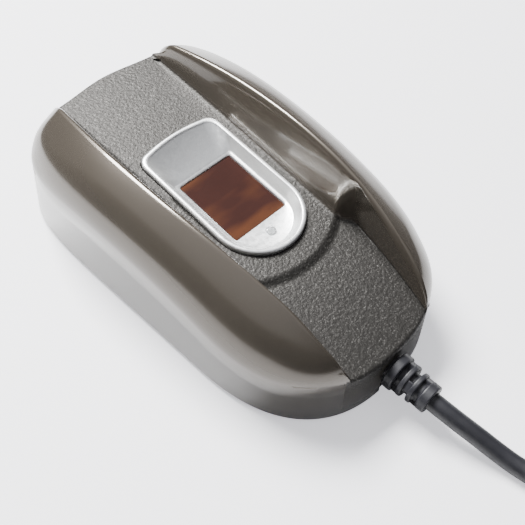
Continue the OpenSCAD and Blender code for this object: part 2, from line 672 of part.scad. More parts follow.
function catmull(a, b, c, d, t) =
    0.5 * (2 * b + (c - a) * t + (2 * a - 5 * b + 4 * c - d) * t * t
    + (3 * b - a - 3 * c + d) * t * t * t);
function route_point(r, i, t) =
    catmull(r[max(i - 1, 0)], r[i], r[i + 1], r[min(i + 2, len(r) - 1)], t);
function route_rings(r, n) = concat(
    [for (i = [0:len(r) - 2]) for (k = [0:n - 1]) route_point(r, i, k / n)], [r[len(r) - 1]]);
// tube swept along a route; across is a direction the route never takes
module tube(route, n, r, sides, across = [0, 0, 1]) {
    p = route_rings(route, n);
    m = len(p);
    rings = [for (i = [0:m - 1])
        let (d = p[min(i + 1, m - 1)] - p[max(i - 1, 0)], t = d / norm(d),
            s = cross(t, across) / norm(cross(t, across)), u = cross(s, t))
        for (k = [0:sides - 1])
            p[i] + r * (cos(360 * k / sides) * s + sin(360 * k / sides) * u)];
    faces = concat(
        [[for (k = [sides - 1:-1:0]) k]],
        [for (i = [0:m - 2]) for (k = [0:sides - 1])
            [i * sides + (k + 1) % sides, (i + 1) * sides + (k + 1) % sides,
                (i + 1) * sides + k, i * sides + k]],
        [[for (k = [0:sides - 1]) (m - 1) * sides + k]]);
    polyhedron(points = rings, faces = faces);
}

module usb_lead() {
    color([0.16, 0.16, 0.18]) tube(lead_route, 2, lead_d / 2, 12);
}
module lead_coil() {
    color([0.16, 0.16, 0.18]) translate([coil_x, coil_y, tie_t]) rotate_extrude($fn = 96)
        translate([coil_in, 0]) square([coil_out - coil_in, 2 * lead_d]);
}
module lead_tail() {
    color([0.16, 0.16, 0.18]) tube(tail_route, 2, lead_d / 2, 12);
}
module coil_tie() {
    w = coil_out - coil_in;
    color([0.10, 0.10, 0.10]) translate([coil_x, coil_y + coil_in, 0]) difference() {
        translate([-2.5, -tie_t - 0.4, 0]) cube([5, w + 2 * tie_t + 1, 2 * lead_d + 2 * tie_t]);
        translate([-4, -0.4, tie_t]) cube([8, w + 1, 2 * lead_d]);
    }
}

// ---- USB plug, its shell pointing away from the lead ----
module plug_frame() {
    translate(plug_at) rotate([90, 0, plug_turn]) children();
}
shell_w = 12;
shell_t = 4.5;
module plug_body() {
    color([0.13, 0.13, 0.14]) plug_frame() difference() {
        union() {
            cylinder(r = 3.2, h = 5);
            translate([-7.5, -4, 4]) cube([15, 8, 18]);
        }
        translate([0, 0, -1]) cylinder(r = lead_d / 2, h = 4);
        translate([-shell_w / 2, -shell_t / 2, 15]) cube([shell_w, shell_t, 8]);
    }
}
module plug_shell() {
    color([0.80, 0.80, 0.82]) plug_frame() difference() {
        translate([-shell_w / 2, -shell_t / 2, 15]) cube([shell_w, shell_t, 19]);
        translate([-shell_w / 2 + 0.35, -shell_t / 2 + 0.35, 15.5])
            cube([shell_w - 0.7, shell_t - 0.7, 20]);
        for (x = [-3.2, 1.2]) translate([x, -4, 26]) cube([2, 8, 2]);
    }
}
module plug_tongue() {
    color([0.92, 0.92, 0.92]) plug_frame()
        translate([-5.6, 0, 15.6]) cube([11.2, 1.85, 17.9]);
}
contact_x = [-3.5, -1, 1, 3.5];
module plug_contacts() {
    color([0.85, 0.70, 0.30]) plug_frame() for (x = contact_x)
        translate([x - 0.5, -0.2, 24]) cube([1, 0.2, 8.6]);
}

upper_shell();
base_plate();
rubber_feet();
case_screws();
bezel();
indicator_lens();
platen_gasket();
platen_prism();
prism_holder();
diffuser();
illumination_board();
illumination_leds();
fold_mirror();
lens_holder();
lens_barrel();
front_lens();
rear_lens();
ir_filter();
image_sensor();
sensor_board();
sensor_screws();
sensor_connector();
flat_cable();
board_connector();
main_board();
controller_chip();
memory_chip();
crystal();
voltage_regulator();
capacitors();
resistors();
indicator_led();
led_wires();
cable_header();
cable_housing();
core_wires();
cable_clamp();
clamp_screws();
board_screws();
holder_screws();
ballast_plate();
ballast_screws();
strain_relief();
usb_lead();
lead_coil();
lead_tail();
coil_tie();
plug_body();
plug_shell();
plug_tongue();
plug_contacts();
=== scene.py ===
"""Looks of the desktop fingerprint reader: shell, bezel, window, strain relief and lead."""

import json
import math

import bmesh
import bpy
from mathutils import Matrix, Vector


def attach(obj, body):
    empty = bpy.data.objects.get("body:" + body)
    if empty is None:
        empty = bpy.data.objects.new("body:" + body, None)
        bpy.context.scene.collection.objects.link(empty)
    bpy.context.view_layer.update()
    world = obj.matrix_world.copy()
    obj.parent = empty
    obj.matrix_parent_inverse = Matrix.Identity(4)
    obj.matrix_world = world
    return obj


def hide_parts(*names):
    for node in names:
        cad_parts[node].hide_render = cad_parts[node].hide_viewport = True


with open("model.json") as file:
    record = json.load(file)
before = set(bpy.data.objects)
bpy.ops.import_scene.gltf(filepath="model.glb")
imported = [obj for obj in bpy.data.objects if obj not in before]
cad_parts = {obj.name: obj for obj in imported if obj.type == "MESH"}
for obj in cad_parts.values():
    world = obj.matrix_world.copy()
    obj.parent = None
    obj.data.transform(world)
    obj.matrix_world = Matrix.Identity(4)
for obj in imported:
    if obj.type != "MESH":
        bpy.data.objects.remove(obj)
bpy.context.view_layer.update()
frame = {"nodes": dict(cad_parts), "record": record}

MM = 0.001
NODES = frame["nodes"]


# ---------------------------------------------------------------- camera
CAMERA_AZIMUTH = math.radians(135.15)
CAMERA_ELEVATION = math.radians(54.17)
CAMERA_ROLL = math.radians(0.875)
CAMERA_SPOT = Vector((73.35, 85.12, 150.63)) * MM


def place_camera():
    lens = bpy.data.cameras.new("camera")
    lens.sensor_width = 36
    lens.lens = 48
    lens.clip_start = 0.01
    camera = bpy.data.objects.new("camera", lens)
    bpy.context.scene.collection.objects.link(camera)
    level = math.cos(CAMERA_ELEVATION)
    back = Vector((
        math.sin(CAMERA_AZIMUTH) * level,
        -math.cos(CAMERA_AZIMUTH) * level,
        math.sin(CAMERA_ELEVATION),
    ))
    right = Vector((math.cos(CAMERA_AZIMUTH), math.sin(CAMERA_AZIMUTH), 0))
    up = back.cross(right)
    turn = Matrix((right, up, back)).transposed() @ Matrix.Rotation(CAMERA_ROLL, 3, "Z")
    camera.matrix_world = Matrix.Translation(CAMERA_SPOT) @ turn.to_4x4()
    bpy.context.scene.camera = camera


place_camera()


# ---------------------------------------------------------------- pieces
def keep(name, bm, material, nodes, smooth=True, merge=True):
    """Makes the piece from bm, drawn in millimetres, and shows it in place of CAD nodes."""
    if merge:
        bmesh.ops.remove_doubles(bm, verts=bm.verts, dist=0.0005)
        bmesh.ops.recalc_face_normals(bm, faces=bm.faces)
    bmesh.ops.scale(bm, vec=(MM, MM, MM), verts=bm.verts)
    mesh = bpy.data.meshes.new(name)
    bm.to_mesh(mesh)
    bm.free()
    for face in mesh.polygons:
        face.use_smooth = smooth
    piece = bpy.data.objects.new(name, mesh)
    bpy.context.scene.collection.objects.link(piece)
    mesh.materials.append(material)
    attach(piece, "root")
    if nodes:
        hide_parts(*nodes)
    return piece


def soften(bm, width, segments=3, angle=30, edges=None):
    """Rounds the sharp edges of a bmesh."""
    sharp = [
        e for e in (edges if edges is not None else bm.edges)
        if len(e.link_faces) == 2 and e.calc_face_angle(0) > math.radians(angle)
    ]
    bmesh.ops.bevel(
        bm, geom=sharp, offset=width, offset_type="OFFSET", segments=segments,
        profile=0.5, affect="EDGES", material=-1, clamp_overlap=True,
    )


def block(bm, low, high):
    """Adds a box between two corners and gives back its vertices."""
    low, high = Vector(low), Vector(high)
    made = bmesh.ops.create_cube(bm, size=1)["verts"]
    bmesh.ops.scale(bm, vec=high - low, verts=made)
    bmesh.ops.translate(bm, vec=(low + high) / 2, verts=made)
    return made


def loft(bm, rings, closed=False):
    """Draws a skin through rings of the same number of points, each an extrusion of the last."""
    number = bm.verts.layers.int.new("number")
    verts = [bm.verts.new(p) for p in rings[0]]
    for i, v in enumerate(verts):
        v[number] = i
    edges = [bm.edges.new((verts[i - 1], verts[i])) for i in range(len(verts))]
    for ring in rings[1:] + (rings[:1] if closed else []):
        grown = bmesh.ops.extrude_edge_only(bm, edges=edges)["geom"]
        edges = [g for g in grown if isinstance(g, bmesh.types.BMEdge)]
        for v in {v for e in edges for v in e.verts}:
            v.co = ring[v[number]]
        edges = [e for e in edges if len(e.link_faces) == 1]
        edges = [e for e in edges if all((v.co - ring[v[number]]).length < 1e-6 for v in e.verts)]


def join(bm, part, name):
    """Moves the part's faces into bm."""
    mesh = bpy.data.meshes.new(name)
    part.to_mesh(mesh)
    part.free()
    bm.from_mesh(mesh)
    bpy.data.meshes.remove(mesh)


def turned(bm, profile, steps=64):
    """Spins a profile of (radius, height) points round Z."""
    verts = [bm.verts.new((r, 0, z)) for r, z in profile]
    edges = [bm.edges.new(pair) for pair in zip(verts, verts[1:])]
    bmesh.ops.spin(
        bm, geom=verts + edges, cent=(0, 0, 0), axis=(0, 0, 1), angle=2 * math.pi,
        steps=steps, use_merge=True, use_duplicate=False,
    )
    bmesh.ops.remove_doubles(bm, verts=bm.verts, dist=0.0005)


# ---------------------------------------------------------------- finishes
class Finish:
    """A material with its node tree and short ways to add nodes."""

    def __init__(self, name, colour, roughness, metallic=0.0):
        self.material = bpy.data.materials.new(name)
        self.material.use_nodes = True
        self.tree = self.material.node_tree
        self.shader = self.tree.nodes["Principled BSDF"]
        self.set("Base Color", (*colour, 1))
        self.set("Roughness", roughness)
        self.set("Metallic", metallic)
        self.place = self.tree.nodes.new("ShaderNodeTexCoord").outputs["Object"]

    def set(self, socket, value):
        self.shader.inputs[socket].default_value = value

    def link(self, output, node_input):
        self.tree.links.new(output, node_input)

    def node(self, kind, inputs=None, **options):
        made = self.tree.nodes.new(kind)
        for key, value in options.items():
            setattr(made, key, value)
        for key, value in (inputs or {}).items():
            if isinstance(value, bpy.types.NodeSocket):
                self.link(value, made.inputs[key])
            else:
                made.inputs[key].default_value = value
        return made

    def noise(self, scale, detail=2.0, rough=0.5, place=None):
        inputs = {"Vector": place or self.place, "Scale": scale, "Detail": detail, "Roughness": rough}
        return self.node("ShaderNodeTexNoise", inputs).outputs["Fac"]

    def stretched(self, scale):
        return self.node("ShaderNodeMapping", {"Vector": self.place, "Scale": scale}).outputs["Vector"]

    def attribute(self, name):
        return self.node("ShaderNodeAttribute", attribute_name=name).outputs["Fac"]

    def remap(self, value, low, high, to_low, to_high):
        inputs = {"Value": value, 1: low, 2: high, 3: to_low, 4: to_high}
        return self.node("ShaderNodeMapRange", inputs).outputs["Result"]

    def maths(self, operation, one, two=0.0):
        return self.node("ShaderNodeMath", {0: one, 1: two}, operation=operation).outputs[0]

    def mixed(self, factor, one, two):
        inputs = {"Factor": factor, "A": one, "B": two}
        made = self.tree.nodes.new("ShaderNodeMix")
        made.data_type = "RGBA"
        for index, value in ((0, inputs["Factor"]), (6, inputs["A"]), (7, inputs["B"])):
            if isinstance(value, bpy.types.NodeSocket):
                self.link(value, made.inputs[index])
            else:
                made.inputs[index].default_value = value if index == 0 else (*value, 1)
        return made.outputs[2]

    def bump(self, height, distance, strength=1.0, under=None):
        inputs = {"Height": height, "Distance": distance, "Strength": strength}
        if under is not None:
            inputs["Normal"] = under
        return self.node("ShaderNodeBump", inputs).outputs["Normal"]

    def colour_by(self, factor, one, two):
        self.link(self.mixed(factor, one, two), self.shader.inputs["Base Color"])

    def drive(self, socket, output):
        self.link(output, self.shader.inputs[socket])


def shade(colour, amount):
    return tuple(min(1, c * amount) for c in colour)


def moulded(name, colour, roughness, grain=1800, depth=0.02, metallic=0.0, spread=0.12):
    """A fine grained surface whose colour and sheen vary a little."""
    f = Finish(name, colour, roughness, metallic)
    cloud = f.noise(90, 3)
    f.colour_by(cloud, shade(colour, 1 - spread), shade(colour, 1 + spread))
    f.drive("Roughness", f.remap(f.noise(260, 2), 0.3, 0.7, roughness * 0.85, min(1, roughness * 1.15)))
    f.drive("Normal", f.bump(f.noise(grain, 3, 0.6), depth * MM))
    return f


def brushed(name, colour, roughness, along=(60, 60, 2400)):
    """Metal with fine lines along one axis."""
    f = Finish(name, colour, roughness, 1.0)
    lines = f.noise(1, 4, 0.6, f.stretched(along))
    f.colour_by(lines, shade(colour, 0.8), shade(colour, 1.15))
    f.drive("Roughness", f.remap(lines, 0.3, 0.7, roughness * 0.75, min(1, roughness * 1.3)))
    f.drive("Normal", f.bump(lines, 0.01 * MM))
    return f


def shell_paint():
    f = Finish("pearl_paint", (0.07, 0.06, 0.05), 0.3, 0.55)
    channel = f.attribute("channel")
    cells = f.node("ShaderNodeTexVoronoi", {"Vector": f.place, "Scale": 3600.0}).outputs["Color"]
    pick = f.node("ShaderNodeSeparateColor", {"Color": cells}).outputs["Red"]
    glint = f.remap(pick, 0.8, 1.0, 0.0, 1.0)
    cloud = f.noise(45, 2)
    gloss = f.mixed(cloud, (0.098, 0.084, 0.068), (0.122, 0.105, 0.085))
    base = f.mixed(channel, gloss, (0.036, 0.034, 0.031))
    share = f.remap(channel, 0.0, 1.0, 0.01, 0.12)
    f.link(f.mixed(f.maths("MULTIPLY", glint, share), base, (0.55, 0.53, 0.5)), f.shader.inputs["Base Color"])
    leather = f.noise(1300, 3, 0.55)
    under = f.bump(f.maths("MULTIPLY", leather, channel), 0.2 * MM, 1.0)
    f.drive("Normal", f.bump(f.noise(3000, 2, 0.6), 0.0012 * MM, 1.0, under))
    f.drive("Roughness", f.remap(channel, 0.0, 1.0, 0.22, 0.5))
    f.drive("Coat Weight", f.remap(channel, 0.0, 1.0, 0.8, 0.0))
    f.set("Coat Roughness", 0.05)
    return f


def bezel_satin():
    f = Finish("bezel_satin", (0.66, 0.67, 0.68), 0.36, 0.75)
    grain = f.noise(2200, 3, 0.65)
    f.colour_by(grain, (0.68, 0.69, 0.69), (0.86, 0.87, 0.87))
    f.drive("Roughness", f.remap(f.noise(900, 2), 0.3, 0.7, 0.3, 0.44))
    f.drive("Normal", f.bump(grain, 0.012 * MM))
    return f


def window_glass():
    # The window's dark red-brown colour is painted light: the red glow of the lamps inside and a painted
    # reflection of a dark background, with lighter streaks along it; the real prism is clear
    f = Finish("window_glass", (0.06, 0.022, 0.014), 0.08)
    uneven_glow = f.noise(60, 3, 0.6)
    streak = f.noise(1, 2, 0.5, f.stretched((40, 130, 40)))
    painted_red_glow = f.mixed(uneven_glow, (0.022, 0.007, 0.005), (0.036, 0.012, 0.008))
    streaked = f.mixed(f.remap(streak, 0.5, 0.75, 0.0, 0.8), painted_red_glow, (0.1, 0.035, 0.012))
    f.drive("Base Color", streaked)
    f.drive("Roughness", f.remap(f.noise(700, 2), 0.3, 0.7, 0.05, 0.11))
    f.drive("Normal", f.bump(f.noise(1500, 2), 0.0006 * MM))
    f.set("Coat Weight", 0.1)
    f.set("Specular IOR Level", 0.35)
    return f


def clear(name, colour, roughness, weight=0.85):
    f = Finish(name, colour, roughness)
    f.set("Transmission Weight", weight)
    f.set("IOR", 1.5)
    f.colour_by(f.noise(120, 2), shade(colour, 0.94), shade(colour, 1.04))
    f.drive("Normal", f.bump(f.noise(1400, 2), 0.001 * MM))
    return f


def board_green():
    f = moulded("board_green", (0.03, 0.15, 0.07), 0.35)
    cells = f.node("ShaderNodeTexBrick", {
        "Vector": f.place, "Scale": 260.0, "Color1": (0.02, 0.11, 0.05, 1),
        "Color2": (0.03, 0.16, 0.075, 1), "Mortar": (0.07, 0.26, 0.12, 1), "Mortar Size": 0.03,
    }).outputs["Color"]
    f.drive("Base Color", cells)
    return f


def ribbon_white():
    f = moulded("ribbon_white", (0.78, 0.78, 0.82), 0.4)
    stripes = f.node("ShaderNodeTexWave", {"Vector": f.place, "Scale": 320.0}).outputs["Fac"]
    f.colour_by(stripes, (0.55, 0.57, 0.62), (0.86, 0.86, 0.88))
    return f


def wire_jacket():
    f = moulded("wire_jacket", (0.5, 0.05, 0.04), 0.4)
    side = f.node("ShaderNodeSeparateXYZ", {"Vector": f.place}).outputs["X"]
    f.colour_by(f.remap(side, 0.0212, 0.0222, 0.0, 1.0), (0.5, 0.05, 0.04), (0.08, 0.3, 0.1))
    return f


def lead_pvc():
    f = Finish("lead_pvc", (0.03, 0.03, 0.034), 0.42)
    cloud = f.noise(150, 2)
    f.colour_by(cloud, (0.012, 0.012, 0.015), (0.022, 0.022, 0.026))
    f.drive("Roughness", f.remap(f.noise(500, 2), 0.3, 0.7, 0.34, 0.5))
    f.drive("Normal", f.bump(f.noise(2400, 3, 0.6), 0.012 * MM))
    return f


FINISHES = {
    "shell_paint": shell_paint(),
    "base_plastic": moulded("base_plastic", (0.03, 0.03, 0.033), 0.5),
    "foot_rubber": moulded("foot_rubber", (0.025, 0.025, 0.025), 0.75, 900, 0.05),
    "screw_steel": brushed("screw_steel", (0.6, 0.6, 0.62), 0.35, (1500, 1500, 60)),
    "bezel_satin": bezel_satin(),
    "clear_plastic": clear("clear_plastic", (0.95, 0.97, 1.0), 0.12),
    "gasket_rubber": moulded("gasket_rubber", (0.015, 0.015, 0.015), 0.6),
    "prism_glass": window_glass(),
    "holder_plastic": moulded("holder_plastic", (0.02, 0.02, 0.022), 0.6),
    "diffuser_plastic": moulded("diffuser_plastic", (0.8, 0.8, 0.79), 0.55, 700, 0.03),
    "board_green": board_green(),
    "led_red": moulded("led_red", (0.55, 0.1, 0.07), 0.25),
    "mirror_coat": brushed("mirror_coat", (0.9, 0.92, 0.94), 0.04, (30, 30, 30)),
    "lens_glass": clear("lens_glass", (0.85, 0.92, 1.0), 0.03, 0.95),
    "filter_glass": clear("filter_glass", (0.6, 0.9, 0.85), 0.03, 0.9),
    "chip_black": moulded("chip_black", (0.03, 0.03, 0.032), 0.55, 2600, 0.03),
    "connector_ivory": moulded("connector_ivory", (0.78, 0.73, 0.6), 0.45),
    "ribbon_white": ribbon_white(),
    "can_metal": brushed("can_metal", (0.75, 0.75, 0.76), 0.3, (1200, 60, 60)),
    "ceramic_tan": moulded("ceramic_tan", (0.45, 0.32, 0.19), 0.5),
    "wire_jacket": wire_jacket(),
    "steel_plate": brushed("steel_plate", (0.45, 0.46, 0.47), 0.4, (40, 1800, 40)),
    "lead_pvc": lead_pvc(),
    "tie_nylon": moulded("tie_nylon", (0.02, 0.02, 0.02), 0.5),
    "plug_steel": brushed("plug_steel", (0.72, 0.72, 0.73), 0.25, (1400, 60, 60)),
    "tongue_white": moulded("tongue_white", (0.85, 0.85, 0.83), 0.4),
    "contact_gold": brushed("contact_gold", (0.85, 0.6, 0.25), 0.3, (60, 1400, 60)),
}
SLOTS = {entry["node"]: entry["material_slot"] for entry in frame["record"]["subparts"]}
for name, node in NODES.items():
    node.data.materials.clear()
    node.data.materials.append(FINISHES[SLOTS[name]].material)


def made_of(slot):
    return FINISHES[slot].material


# ---------------------------------------------------------------- lead
LEAD_D = 4.5
LEAD_ROUTE = [
    (0, 41, 8.3), (0, 54, 8.3), (0, 60, 8.3), (0, 65, 8.1), (-0.9, 72, 6.8), (-2, 77, 5.2),
    (-3.1, 82, 3.5), (-3.8, 86, 2.8), (-4.5, 90, 2.65), (-5, 94.4, 2.7), (-5.6, 98.4, 2.9),
]
TAIL_ROUTE = [(-4.9, 100.9, 7.5), (-1.4, 104.3, 7.2), (2, 108, 5.5), (5, 111.4, 4.1), (6.7, 113.9, 4)]
COIL_X = -40
COIL_Y = 111
COIL_D = 46
COIL_WIDE = 5
COIL_OUT = COIL_D / 2 + (COIL_WIDE - 1) / 2 * LEAD_D
TIE_T = 0.7               # the tie's strap, which the coil rests on
COIL_LOW = TIE_T + LEAD_D / 2
COIL_START = 9
COIL_DEGREES = 9 * 360 + 306
IN_STEP = 50              # the angle over which a turn moves to the next radius
RISE_FROM = -110          # where the first layer climbs to the second
OUT_FROM = -170           # where a turn of the second layer moves outwards


def ease(t):
    t = min(1, max(0, t))
    return t * t * (3 - 2 * t)


def coil_point(angle):
    """A point of the coil: five turns inwards on the surface, five outwards on top."""
    turn = int(angle // 360)
    left = angle % 360 - 360
    rise = ease((angle - (COIL_WIDE * 360 + RISE_FROM)) / 60)
    if turn < COIL_WIDE:
        place = turn + (ease((left + IN_STEP) / IN_STEP) if turn < COIL_WIDE - 1 else 0)
    else:
        place = 2 * COIL_WIDE - 1 - turn - ease((left - OUT_FROM) / IN_STEP)
    radius = COIL_OUT - LEAD_D * max(0, place)
    way = math.radians(COIL_START + angle)
    return (
        COIL_X + radius * math.cos(way), COIL_Y + radius * math.sin(way),
        COIL_LOW + LEAD_D * rise,
    )


def spline_points(route, parts):
    """Points of a smooth curve through the route, as part.scad sweeps it."""
    found = []
    for i in range(len(route) - 1):
        four = [Vector(route[min(max(j, 0), len(route) - 1)]) for j in range(i - 1, i + 3)]
        a, b, c, d = four
        for k in range(parts):
            t = k / parts
            found.append(0.5 * (
                2 * b + (c - a) * t + (2 * a - 5 * b + 4 * c - d) * t * t
                + (3 * b - a - 3 * c + d) * t * t * t
            ))
    return found + [Vector(route[-1])]


def lead():
    coil = [Vector(coil_point(a)) for a in range(0, COIL_DEGREES, 15)]
    last = Vector(coil_point(COIL_DEGREES))
    off = [last.lerp(Vector(TAIL_ROUTE[0]), t) for t in (0, 0.33, 0.67)]
    approach = Vector(LEAD_ROUTE[-1]).lerp(coil[0], 0.5)
    points = spline_points(LEAD_ROUTE, 2) + [approach] + coil + off + spline_points(TAIL_ROUTE, 2)
    curve = bpy.data.curves.new("usb_cord", "CURVE")
    curve.dimensions = "3D"
    curve.bevel_depth = LEAD_D / 2 * MM
    curve.bevel_resolution = 5
    curve.use_fill_caps = True
    curve.resolution_u = 4
    spline = curve.splines.new("BEZIER")
    spline.bezier_points.add(len(points) - 1)
    for knot, point in zip(spline.bezier_points, points):
        knot.co = point * MM
        knot.handle_left_type = knot.handle_right_type = "AUTO"
    curve.materials.append(made_of("lead_pvc"))
    cord = bpy.data.objects.new("usb_cord", curve)
    bpy.context.scene.collection.objects.link(cord)
    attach(cord, "root")
    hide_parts("usb_lead", "lead_coil", "lead_tail")
    return cord, sum((b - a).length for a, b in zip(points, points[1:])) * MM


usb_cord, cord_length = lead()


# ---------------------------------------------------------------- shape of the body
END_Y = 54
HALF_W = 30.9
TAPER = 0.068
WIDE_Y = 20
USER_N = 6.7
CABLE_N = 2.56
DRAFT = 0.6
LEAN = 3.5
RIDGE_H = 36.97
CROWN_Y = -9
STRIP_H = 25.1
STRIP_W = 14.3
STEP_Y = 25.3
STEP_R = 25
STEP_RUN = 2.4
SHELL_Z = 1.8
WALL_TOP = 0.04           # share of the wall's height in the narrow band under its top edge
LEAD_Z = 8.3


def lerp(a, b, t):
    return a + (b - a) * t


def smin(a, b, k):
    h = max(k - abs(a - b), 0) / k
    return min(a, b) - h * h * k / 4


def smax(a, b, k):
    return -smin(-a, -b, k)


def squareness(y):
    return USER_N if y < WIDE_Y else CABLE_N


def reach(y, inset):
    return (END_Y + WIDE_Y - LEAN if y < WIDE_Y else END_Y - WIDE_Y) - inset


def foot_y(y):
    """y at the foot, under y at the top edge."""
    if y > WIDE_Y:
        return y
    return WIDE_Y + (y - WIDE_Y) * (END_Y + WIDE_Y) / (END_Y + WIDE_Y - LEAN)


def bow(x, y):
    """How far the user end's top edge moves in, away from the middle."""
    return 2 * (1 - math.exp(-((x / 11) ** 2))) * ease((-20 - y) / 30)


def spread(y, inset):
    return (HALF_W - inset) * (1 - TAPER * y / 50)


def level(x, y, inset):
    n = squareness(y)
    across = (abs(x) / spread(y, inset)) ** n
    return (across + (abs(y - WIDE_Y) / reach(y, inset)) ** n) ** (1 / n)


def slope(x, y, inset):
    h = 0.02
    return (
        (level(x + h, y, inset) - level(x - h, y, inset)) / (2 * h),
        (level(x, y + h, inset) - level(x, y - h, inset)) / (2 * h),
    )


def side_x(y, inset):
    n = squareness(y)
    return spread(y, inset) * max(0, 1 - (abs(y - WIDE_Y) / reach(y, inset)) ** n) ** (1 / n)


def end_at(x, side, spread_y, inset):
    n = squareness(side * END_Y)
    span = reach(side * END_Y, inset)
    return WIDE_Y + side * span * max(0, 1 - (abs(x) / spread(spread_y, inset)) ** n) ** (1 / n)


def end_line(x, side, inset):
    return end_at(x, side, end_at(x, side, side * END_Y, inset), inset)


def corner_y(side, inset):
    return WIDE_Y + side * reach(side * END_Y, inset) * 0.5 ** (1 / squareness(side * END_Y))


def ridge_x(y):
    return 19.2 - 0.0017 * (y + 8) ** 2


def ridge_z(y):
    return RIDGE_H - 0.0019 * (y - CROWN_Y) ** 2 - 10.9 * (max(y - CROWN_Y, 0) / 60) ** 4


def belt_z(y):
    return 30 - (0.0061 if y < -12 else 0.0039) * (y + 12) ** 2


def upper_floor(y):
    return STRIP_H - 0.105 * y - 0.00046 * y * y


def lower_floor(y):
    t = (y - 1.4) / 50
    return 23.2 - 1.4 * t - 6.2 * t * t


def step_line(x):
    return STEP_Y - STEP_R + math.sqrt(max(0, STEP_R**2 - x * x))


def floor_z(x, y):
    return lerp(upper_floor(y), lower_floor(y), ease((y - step_line(x)) / STEP_RUN))


def foot_x(y):
    return lerp(STRIP_W - 0.022 * y, ridge_x(y) - 0.5, ease((y - step_line(STRIP_W)) / 6))


def hump_z(x, y):
    q = max(0, (abs(x) - ridge_x(y)) / (spread(y, 0) - ridge_x(y)))
    return ridge_z(y) - (ridge_z(y) - belt_z(y)) * (0.7 * q + 0.3 * q * q)


def flank_z(x, y):
    low = floor_z(x, y)
    return low + (abs(x) - foot_x(y)) * (ridge_z(y) - low) / (ridge_x(y) - foot_x(y))


def top_z(x, y):
    return smax(floor_z(x, y), smin(flank_z(x, y), hump_z(x, y), 1.8), 0.8)


def edge_r(x, y):
    user = ease((-34 - y) / 12) * (1 - ease((abs(x) - ridge_x(y)) / 9))
    hump = 6 + 3 * user - 2.5 * ease((y - 38) / 12)
    return lerp(0.8, hump, ease((abs(x) - foot_x(y)) / max(ridge_x(y) - foot_x(y), 0.8)))


def edge_drop(x, y, inset):
    steep = slope(x, y, inset)
    depth = (1 - level(x, y, inset)) / max(math.hypot(*steep), 0.001)
    r = edge_r(x, y)
    e = min(1, max(0, 1 - depth / r))
    return r * (1 - math.sqrt(1 - e * e))


# frame of the finger window: x across, y along the channel floor, z out of it
FRAME_Y = 1
FRAME_TILT = -6
WINDOW_FRAME = (
    Matrix.Translation((0, FRAME_Y, upper_floor(FRAME_Y)))
    @ Matrix.Rotation(math.radians(FRAME_TILT), 4, "X")
)
WINDOW_W = 16
WINDOW_L = 20
WINDOW_DIP = 1.9
BEZEL_W = 11.85
BEZEL_ROUND_Y = 8.1
BEZEL_USER_Y = -20.8
BEZEL_BOW = 1.7
BEZEL_CORNER = 3
BEZEL_LOW = -4.0
RIM_H = 1.2
LENS_R = 1.3
LENS_Y = 13.3


def bezel_outline(inset):
    """The bezel's outline: bowed user edge, straight sides and a round end."""
    w = BEZEL_W - inset
    reach_x = w - BEZEL_CORNER
    points = []
    for i in range(-6, 7):
        x = reach_x * i / 6
        points.append((x, BEZEL_USER_Y + inset - BEZEL_BOW * (1 - (x / w) ** 2)))
    turn = points[-1][1] + BEZEL_CORNER
    for a in range(-75, 1, 15):
        a = math.radians(a)
        points.append((reach_x + BEZEL_CORNER * math.cos(a), turn + BEZEL_CORNER * math.sin(a)))
    for a in range(0, 181, 6):
        a = math.radians(a)
        points.append((w * math.cos(a), BEZEL_ROUND_Y + w * math.sin(a)))
    for a in range(180, 256, 15):
        a = math.radians(a)
        points.append((-reach_x + BEZEL_CORNER * math.cos(a), turn + BEZEL_CORNER * math.sin(a)))
    return points


# ---------------------------------------------------------------- upper shell
COLUMNS = 136
ROWS = 230


def column_x(u, xf, xr, xw):
    """x of a grid column: 0..0.3 the floor, 0.3..0.48 the flank, 0.48..1 the hump."""
    if u < 0.3:
        return xf * u / 0.3
    if u < 0.48:
        return lerp(xf, xr, (u - 0.3) / 0.18)
    t = (u - 0.48) / 0.52
    return lerp(xr, xw, 1 - (1 - t) ** 1.7)


def row_part(v):
    """How far along a row lies: close together at both ends and over the step."""
    if v < 0.5:
        return 0.7 * (1 - math.cos(math.pi / 2 * v / 0.5 * 20 / 21))
    if v < 0.74:
        return lerp(0.648, 0.7608, (v - 0.5) / 0.24)
    return 0.7608 + 0.2392 * math.sin(math.pi / 2 * (v - 0.74) / 0.26)


def column_at(u, part, inset):
    y_ridge = lerp(inset - END_Y, END_Y - inset, part)
    y_ridge += bow(17, y_ridge)
    wide = side_x(lerp(corner_y(-1, inset), corner_y(1, inset), part), inset)
    return column_x(u, foot_x(y_ridge), min(ridge_x(y_ridge), wide - 2), wide)


def shell_plan(u, part, inset):
    x = column_at(abs(u), part, inset)
    y0 = end_line(column_at(abs(u), 0, inset), -1, inset)
    y1 = end_line(column_at(abs(u), 1, inset), 1, inset)
    return math.copysign(x, u), lerp(y0, y1, part)


